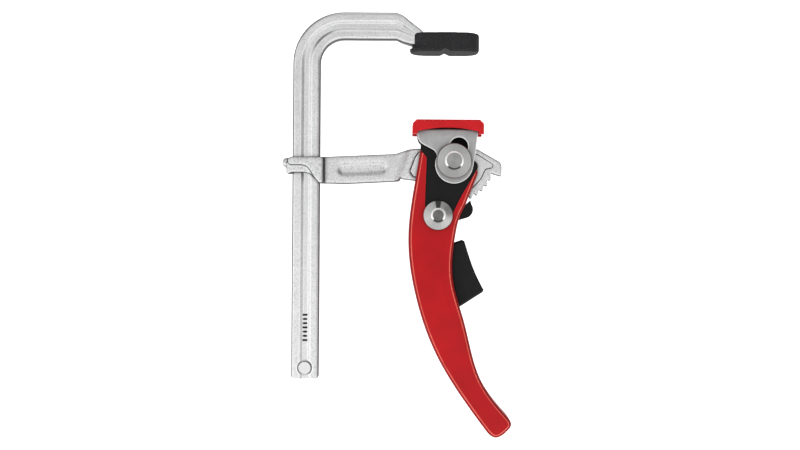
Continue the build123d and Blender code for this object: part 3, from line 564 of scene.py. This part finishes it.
def polished_grip(name, colour):
    """Satin red moulding: a painted bright highlight where the face rounds over, painted shade as a
    deeper red round it, a painted highlight along the edges and painted shade in crevices.
    """
    surface = Surface(name, 0.0, 0.38)
    grain = surface.grain(2600.0, 60.0)
    slope = surface.effect("Skin Slope", make_slope_group)
    body = surface.over(tint(colour, 0.86), tint(colour, 1.14), grain.outputs["Blotch"])
    # painted shade: deeper red where the face rounds over
    side = surface.over(body, tint(colour, 0.62), slope.outputs["Slope"])
    # painted highlight: a bright line at the brink of the face
    line = math_node(surface.tree, "MULTIPLY", slope.outputs["Brink"], 0.9)
    # painted highlight: the edges lighter
    edge_patches = surface.edges(0.5 * MM, 0.2)
    edged = surface.over(side, tint(colour, 1.5), edge_patches.outputs["Mask"])
    # painted shade: darker in corners and where another piece stands close
    crevice = surface.effect("Crevice", make_crevice_group, Reach=2.6 * MM)
    shaded = surface.over(edged, tint(colour, 0.2), crevice.outputs["Mask"])
    surface.colour(surface.over(shaded, (0.95, 0.20, 0.15), line))
    surface.roughness(surface.span(grain.outputs["Blotch"], 0.34, 0.44))
    surface.bump(grain.outputs["Height"], 0.004 * MM, 0.4)
    return surface.material


def finish_nodes(material, *names):
    """Puts one material in every slot of the named CAD nodes."""
    for name in names:
        mesh = NODES[name].data
        if not mesh.materials:
            mesh.materials.append(material)
        for slot in range(len(mesh.materials)):
            mesh.materials[slot] = material


# ------------------------------------------------------------------ pieces

def welded_copy(node, name):
    """A copy of a CAD node's mesh as a new object, with its seams joined."""
    piece = bpy.data.objects.new(name, NODES[node].data.copy())
    bpy.context.scene.collection.objects.link(piece)
    work = bmesh.new()
    work.from_mesh(piece.data)
    bmesh.ops.remove_doubles(work, verts=work.verts, dist=0.002 * MM)
    bmesh.ops.recalc_face_normals(work, faces=work.faces)
    work.to_mesh(piece.data)
    work.free()
    return piece


def apply_modifiers(piece):
    """Replaces the piece's mesh by what its modifiers make of it."""
    bpy.context.view_layer.update()
    seen = piece.evaluated_get(bpy.context.evaluated_depsgraph_get())
    made = bpy.data.meshes.new_from_object(seen)
    piece.modifiers.clear()
    piece.data = made
    piece.data.name = piece.name


class CLAMP_OT_rail(bpy.types.Operator):
    """Finish the rail and its stop pin, and print the scale in the trough"""

    bl_idname = "clamp.rail"
    bl_label = "Rail"

    def execute(self, context):
        finish = context.scene.clamp_finish
        marks = context.scene.clamp_marks
        # the rail's steel takes a wide, strong painted highlight on the trough's walls and its edges
        steel = plated_steel(
            "satin_forged_steel", finish, 1300.0, 0.030 * MM, 0.36, 0.34, highlight_width=0.9 * MM, gain=28.0,
        )
        finish_nodes(steel, "rail")
        finish_nodes(plated_steel("stop_pin_steel", finish, 5200.0, 0.006 * MM, 0.33), "rail_stop_pin")
        piece = printed_scale(marks)
        ink = Surface("pad_printed_ink", 0.0, 0.55)
        grain = ink.grain(2600.0, 400.0)
        ink.colour(ink.over((0.006, 0.006, 0.006), (0.03, 0.03, 0.03), grain.outputs["Height"]))
        ink.bump(grain.outputs["Height"], 0.004 * MM, 0.5)
        piece.data.materials.append(ink.material)
        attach(piece, "root")
        return {"FINISHED"}


def printed_scale(marks):
    """Short printed strokes down the trough's floor, every third one long, with rounded ends."""
    rail_low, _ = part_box("rail")
    middle = rail_low.x + marks.mark_inset
    floor, ink = -marks.trough_floor, marks.ink_height
    work = bmesh.new()
    for index in range(marks.mark_count):
        length = marks.mark_length if index % 3 == 0 else marks.mark_length * 0.6
        z = marks.mark_top - index * marks.mark_pitch
        half, radius = length / 2 - marks.mark_stroke / 2, marks.mark_stroke / 2
        rim = []
        for end in (1, -1):
            for step in range(END_STEPS + 1):
                turn = -pi / 2 + pi * step / END_STEPS
                across = middle + end * (half + radius * cos(turn))
                rim.append((across, z + end * radius * sin(turn)))
        top = [work.verts.new((x, floor - ink, v)) for x, v in rim]
        base = [work.verts.new((x, floor + ink, v)) for x, v in rim]
        work.faces.new(top)
        work.faces.new(base[::-1])
        for here in range(len(rim)):
            after = (here + 1) % len(rim)
            work.faces.new((top[here], base[here], base[after], top[after]))
    bmesh.ops.recalc_face_normals(work, faces=work.faces)
    mesh = bpy.data.meshes.new("rail_scale_print")
    work.to_mesh(mesh)
    work.free()
    piece = bpy.data.objects.new("rail_scale_print", mesh)
    bpy.context.scene.collection.objects.link(piece)
    return piece


class CLAMP_OT_arm(bpy.types.Operator):
    """Model the cast arm with its soft edges and grainy skin, and finish the plates let into it"""

    bl_idname = "clamp.arm"
    bl_label = "Sliding arm"

    def execute(self, context):
        finish = context.scene.clamp_finish
        arm = welded_copy("sliding_arm", "cast_sliding_arm")
        remesh = arm.modifiers.new("casting", "REMESH")
        remesh.mode = "VOXEL"
        remesh.voxel_size = finish.cast_voxel
        remesh.use_smooth_shade = True
        apply_modifiers(arm)
        bar_end = LEVER_PIVOT.x - finish.cast_bar_end
        bar = arm.vertex_groups.new(name="bar")
        bar.add([v.index for v in arm.data.vertices if v.co.x < bar_end], 1.0, "REPLACE")
        for name, rounds, part in (("crisp_edges", 4, ""), ("soft_edges", 26, "bar")):
            smooth = arm.modifiers.new(name, "SMOOTH")
            smooth.factor = 0.5
            smooth.iterations = rounds
            smooth.vertex_group = part
        skin = bpy.data.textures.new("casting_skin", "CLOUDS")
        skin.noise_scale = 0.9 * MM
        grain = arm.modifiers.new("skin", "DISPLACE")
        grain.texture = skin
        grain.texture_coords = "LOCAL"
        grain.mid_level = 0.5
        grain.strength = finish.cast_pits
        apply_modifiers(arm)
        arm.vertex_groups.clear()
        arm.data.materials.clear()
        # the cast arm's painted shade reaches further into its crevices
        steel = plated_steel(
            "cast_steel", finish, 1400.0, 0.050 * MM, 0.42, 0.50, reach=2.6 * MM,
        )
        arm.data.materials.append(steel)
        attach(arm, "arm")
        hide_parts("sliding_arm")
        insert = plated_steel("insert_steel", finish, 1700.0, 0.040 * MM, 0.42, 0.4)
        finish_nodes(insert, "front_pivot_insert", "rear_pivot_insert")
        return {"FINISHED"}


class CLAMP_OT_turned(bpy.types.Operator):
    """Finish the rivets, washers, spacers, screws, pins and the spring"""

    bl_idname = "clamp.turned"
    bl_label = "Rivets and washers"

    def execute(self, context):
        finish = context.scene.clamp_finish
        large = turned_steel("turned_washer_steel", finish, LEVER_PIVOT, 0.50, 0.75, False)
        finish_nodes(large, "front_pivot_washer", "rear_pivot_washer")
        head = turned_steel("turned_rivet_steel", finish, LEVER_PIVOT, 0.42, 0.56, True)
        finish_nodes(head, "lever_pivot_rivet")
        small = turned_steel("turned_cone_steel", finish, PAWL_PIVOT, 0.46, 0.92, False, True)
        finish_nodes(small, "front_pawl_washer", "rear_pawl_washer")
        pin = turned_steel("turned_pawl_rivet_steel", finish, PAWL_PIVOT, 0.18, 0.26, True)
        finish_nodes(pin, "pawl_rivet")
        plain = plated_steel("plated_hardware", finish, 5200.0, 0.006 * MM, 0.34)
        finish_nodes(plain, "plate_spacers", "grip_screws", "trigger_pins", "pawl_spring")
        return {"FINISHED"}


class CLAMP_OT_saddle(bpy.types.Operator):
    """Finish the pressure saddle and its red cap"""

    bl_idname = "clamp.saddle"
    bl_label = "Pressure saddle"

    def execute(self, context):
        finish = context.scene.clamp_finish
        plate_low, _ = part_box("front_lever_plate")
        inner_half = -plate_low.y + finish.saddle_gap
        finish_nodes(sheet_steel("punched_steel", finish, inner_half), "pressure_saddle")
        red = moulded_plastic("red_cap_plastic", tuple(finish.cap_red), 0.48, 2600.0, 0.02 * MM)
        finish_nodes(red, "saddle_cap")
        return {"FINISHED"}


class CLAMP_OT_lever(bpy.types.Operator):
    """Finish the lever plates, the pawl, the trigger and the jaw cap"""

    bl_idname = "clamp.lever"
    bl_label = "Lever, pawl and black plastic"

    def execute(self, context):
        finish = context.scene.clamp_finish
        coat = black_coat("black_coated_steel", finish)
        finish_nodes(coat, "front_lever_plate", "rear_lever_plate", "pawl")
        black = tuple(finish.black_plastic)
        finish_nodes(moulded_plastic("trigger_plastic", black, 0.50, 2400.0, 0.015 * MM), "trigger")
        cap = moulded_plastic("jaw_cap_plastic", tint(black, 2.7), 0.6, 1300.0, 0.03 * MM, 0.8, 0.03)
        finish_nodes(cap, "jaw_cap")
        return {"FINISHED"}


class CLAMP_OT_grip(bpy.types.Operator):
    """Finish the two red grip shells"""

    bl_idname = "clamp.grip"
    bl_label = "Grip"

    def execute(self, context):
        finish = context.scene.clamp_finish
        red = polished_grip("red_grip_plastic", tuple(finish.grip_red))
        finish_nodes(red, "front_grip_shell", "rear_grip_shell")
        return {"FINISHED"}


# ------------------------------------------------------------------ stage

STUDIO_LIGHTS = (        # name, place, width and height, share of the key light's power
    ("front_softbox", (-0.3, -1.8, 0.35), (2.0, 2.0), 1.0),
    ("top_softbox", (0.0, -0.2, 0.95), (0.9, 0.7), 0.28),
    ("left_strip", (-0.9, -0.5, -0.05), (0.4, 1.2), 0.36),
    ("right_strip", (0.8, -0.3, 0.05), (0.25, 1.0), 0.08),
)


def soft_light(name, place, aim, size, power):
    """A rectangular softbox that faces a point."""
    lamp = bpy.data.lights.new(name, "AREA")
    lamp.shape = "RECTANGLE"
    lamp.size, lamp.size_y = size
    lamp.energy = power
    holder = bpy.data.objects.new(name, lamp)
    holder.location = place
    holder.rotation_euler = (Vector(aim) - Vector(place)).to_track_quat("-Z", "Y").to_euler()
    bpy.context.scene.collection.objects.link(holder)


def sweep_backdrop(floor_z):
    """One sheet of paper: a floor that curves up into a wall behind."""
    half_width, near, wall_y, bend, wall_top = 6.0, -9.0, 1.6, 0.5, 2.6
    profile = [(near, floor_z), (wall_y - bend, floor_z)]
    for step in range(1, BEND_STEPS + 1):
        turn = pi / 2 * step / BEND_STEPS
        profile.append((wall_y - bend + bend * sin(turn), floor_z + bend - bend * cos(turn)))
    profile.append((wall_y, wall_top))
    work = bmesh.new()
    rows = [[work.verts.new((x, y, z)) for y, z in profile] for x in (-half_width, half_width)]
    for step in range(len(profile) - 1):
        work.faces.new((rows[0][step], rows[1][step], rows[1][step + 1], rows[0][step + 1]))
    mesh = bpy.data.meshes.new("paper_sweep")
    work.to_mesh(mesh)
    work.free()
    for face in mesh.polygons:
        face.use_smooth = True
    sheet = bpy.data.objects.new("paper_sweep", mesh)
    bpy.context.scene.collection.objects.link(sheet)
    return sheet


class CLAMP_OT_stage(bpy.types.Operator):
    """Set the pale floor, the soft lights and the camera"""

    bl_idname = "clamp.stage"
    bl_label = "Stage"

    def execute(self, context):
        stage = context.scene.clamp_stage
        scene = context.scene
        low, high = cad_box
        centre = (low + high) / 2
        sheet = sweep_backdrop(low.z - stage.floor_drop)
        paper = Surface("pale_paper", 0.0, 0.9)
        paper.shader.inputs["Base Color"].default_value = (0.93, 0.93, 0.93, 1.0)
        paper.shader.inputs["Emission Color"].default_value = (1.0, 1.0, 1.0, 1.0)
        paper.shader.inputs["Emission Strength"].default_value = 0.78
        sheet.data.materials.append(paper.material)
        world = bpy.data.worlds.new("studio")
        world.use_nodes = True
        world.node_tree.nodes["Background"].inputs["Color"].default_value = (1.0, 1.0, 1.0, 1.0)
        world.node_tree.nodes["Background"].inputs["Strength"].default_value = stage.room_light
        scene.world = world
        for name, place, size, share in STUDIO_LIGHTS:
            soft_light(name, place, centre, size, stage.key_power * share)
        lens = bpy.data.cameras.new("front_camera")
        lens.sensor_width = 36.0
        lens.lens = stage.lens
        lens.clip_start, lens.clip_end = 0.01, 20.0
        camera = bpy.data.objects.new("front_camera", lens)
        camera.location = stage.eye
        camera.rotation_euler = (radians(90.0), -stage.roll, 0.0)
        scene.collection.objects.link(camera)
        scene.camera = camera
        scene.view_settings.view_transform = "Standard"
        return {"FINISHED"}


# ------------------------------------------------------------------ panel and registration

BUILD_STEPS = ("rail", "arm", "turned", "saddle", "lever", "grip", "stage")


class CLAMP_PT_panel(bpy.types.Panel):
    """Lists the steps that finish the clamp"""

    bl_idname = "CLAMP_PT_panel"
    bl_label = "Lever clamp"
    bl_space_type = "VIEW_3D"
    bl_region_type = "UI"
    bl_category = "Clamp"

    def draw(self, context):
        for group in (context.scene.clamp_finish, context.scene.clamp_marks, context.scene.clamp_stage):
            for name in group.__annotations__:
                self.layout.prop(group, name)
        for step in BUILD_STEPS:
            self.layout.operator(f"clamp.{step}")


CLASSES = (
    ClampFinish, ClampMarks, ClampStage, CLAMP_OT_rail, CLAMP_OT_arm, CLAMP_OT_turned,
    CLAMP_OT_saddle, CLAMP_OT_lever, CLAMP_OT_grip, CLAMP_OT_stage, CLAMP_PT_panel,
)
GROUPS = {"clamp_finish": ClampFinish, "clamp_marks": ClampMarks, "clamp_stage": ClampStage}


def register():
    for cls in CLASSES:
        bpy.utils.register_class(cls)
    for name, cls in GROUPS.items():
        setattr(bpy.types.Scene, name, PointerProperty(type=cls))


def unregister():
    for name in GROUPS:
        delattr(bpy.types.Scene, name)
    for cls in reversed(CLASSES):
        bpy.utils.unregister_class(cls)


def main():
    register()
    for step in BUILD_STEPS:
        getattr(bpy.ops.clamp, step)()


if __name__ == "__main__":
    main()
